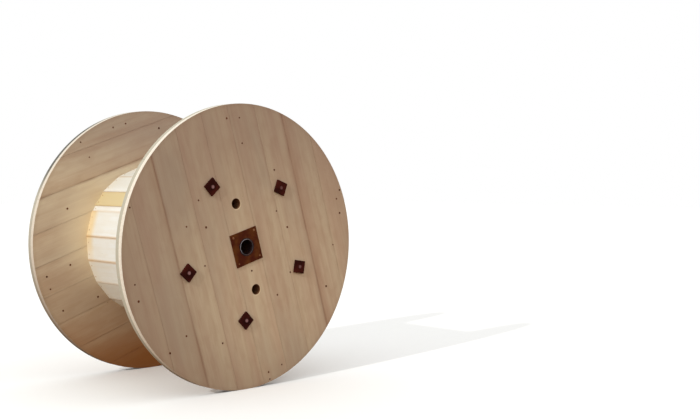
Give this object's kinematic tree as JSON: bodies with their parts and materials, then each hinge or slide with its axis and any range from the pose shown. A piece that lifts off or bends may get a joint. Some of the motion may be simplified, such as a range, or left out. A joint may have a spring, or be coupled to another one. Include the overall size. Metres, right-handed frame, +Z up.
{
  "type": "wooden cable drum",
  "caption": "Wooden cable drum with board flanges, a barrel of flat staves, tie rods, centre plates and a spindle bore.",
  "frame": {"origin": "centre of the drum, on its axis midway between the flanges", "axes": "+Y along the drum's axis from the front flange to the back one, +Z up as it lies on its rims"},
  "size_m": [1.1, 0.706, 1.1],
  "materials": {
    "flange_wood": "sawn, weathered",
    "stave_wood": "sawn, pale",
    "disc_wood": "sawn",
    "plate_steel": "rusty",
    "nut_steel": "rusty, dark",
    "rod_steel": "worn",
    "bush_steel": "worn"
  },
  "bodies": {
    "root": {"front_outer_board_middle": "flange_wood", "front_outer_board_left_1": "flange_wood", "front_outer_board_left_2": "flange_wood", "front_outer_board_left_3": "flange_wood", "front_outer_board_left_4": "flange_wood", "front_outer_board_right_1": "flange_wood", "front_outer_board_right_2": "flange_wood", "front_outer_board_right_3": "flange_wood", "front_outer_board_right_4": "flange_wood", "front_inner_board_middle": "flange_wood", "front_inner_board_below_1": "flange_wood", "front_inner_board_below_2": "flange_wood", "front_inner_board_below_3": "flange_wood", "front_inner_board_below_4": "flange_wood", "front_inner_board_above_1": "flange_wood", "front_inner_board_above_2": "flange_wood", "front_inner_board_above_3": "flange_wood", "front_inner_board_above_4": "flange_wood", "back_inner_board_middle": "flange_wood", "back_inner_board_below_1": "flange_wood", "back_inner_board_below_2": "flange_wood", "back_inner_board_below_3": "flange_wood", "back_inner_board_below_4": "flange_wood", "back_inner_board_above_1": "flange_wood", "back_inner_board_above_2": "flange_wood", "back_inner_board_above_3": "flange_wood", "back_inner_board_above_4": "flange_wood", "back_outer_board_middle": "flange_wood", "back_outer_board_left_1": "flange_wood", "back_outer_board_left_2": "flange_wood", "back_outer_board_left_3": "flange_wood", "back_outer_board_left_4": "flange_wood", "back_outer_board_right_1": "flange_wood", "back_outer_board_right_2": "flange_wood", "back_outer_board_right_3": "flange_wood", "back_outer_board_right_4": "flange_wood", "barrel_staves_1": "stave_wood", "barrel_staves_2": "stave_wood", "barrel_staves_3": "stave_wood", "barrel_staves_4": "stave_wood", "front_support_disc": "disc_wood", "front_plate_nuts": "nut_steel", "front_centre_plate": "plate_steel", "front_bush": "bush_steel", "back_support_disc": "disc_wood", "back_plate_nuts": "nut_steel", "back_centre_plate": "plate_steel", "back_bush": "bush_steel", "tie_rod_1": "rod_steel", "tie_rod_2": "rod_steel", "tie_rod_3": "rod_steel", "tie_rod_4": "rod_steel", "tie_rod_5": "rod_steel"}
  },
  "joints": []
}
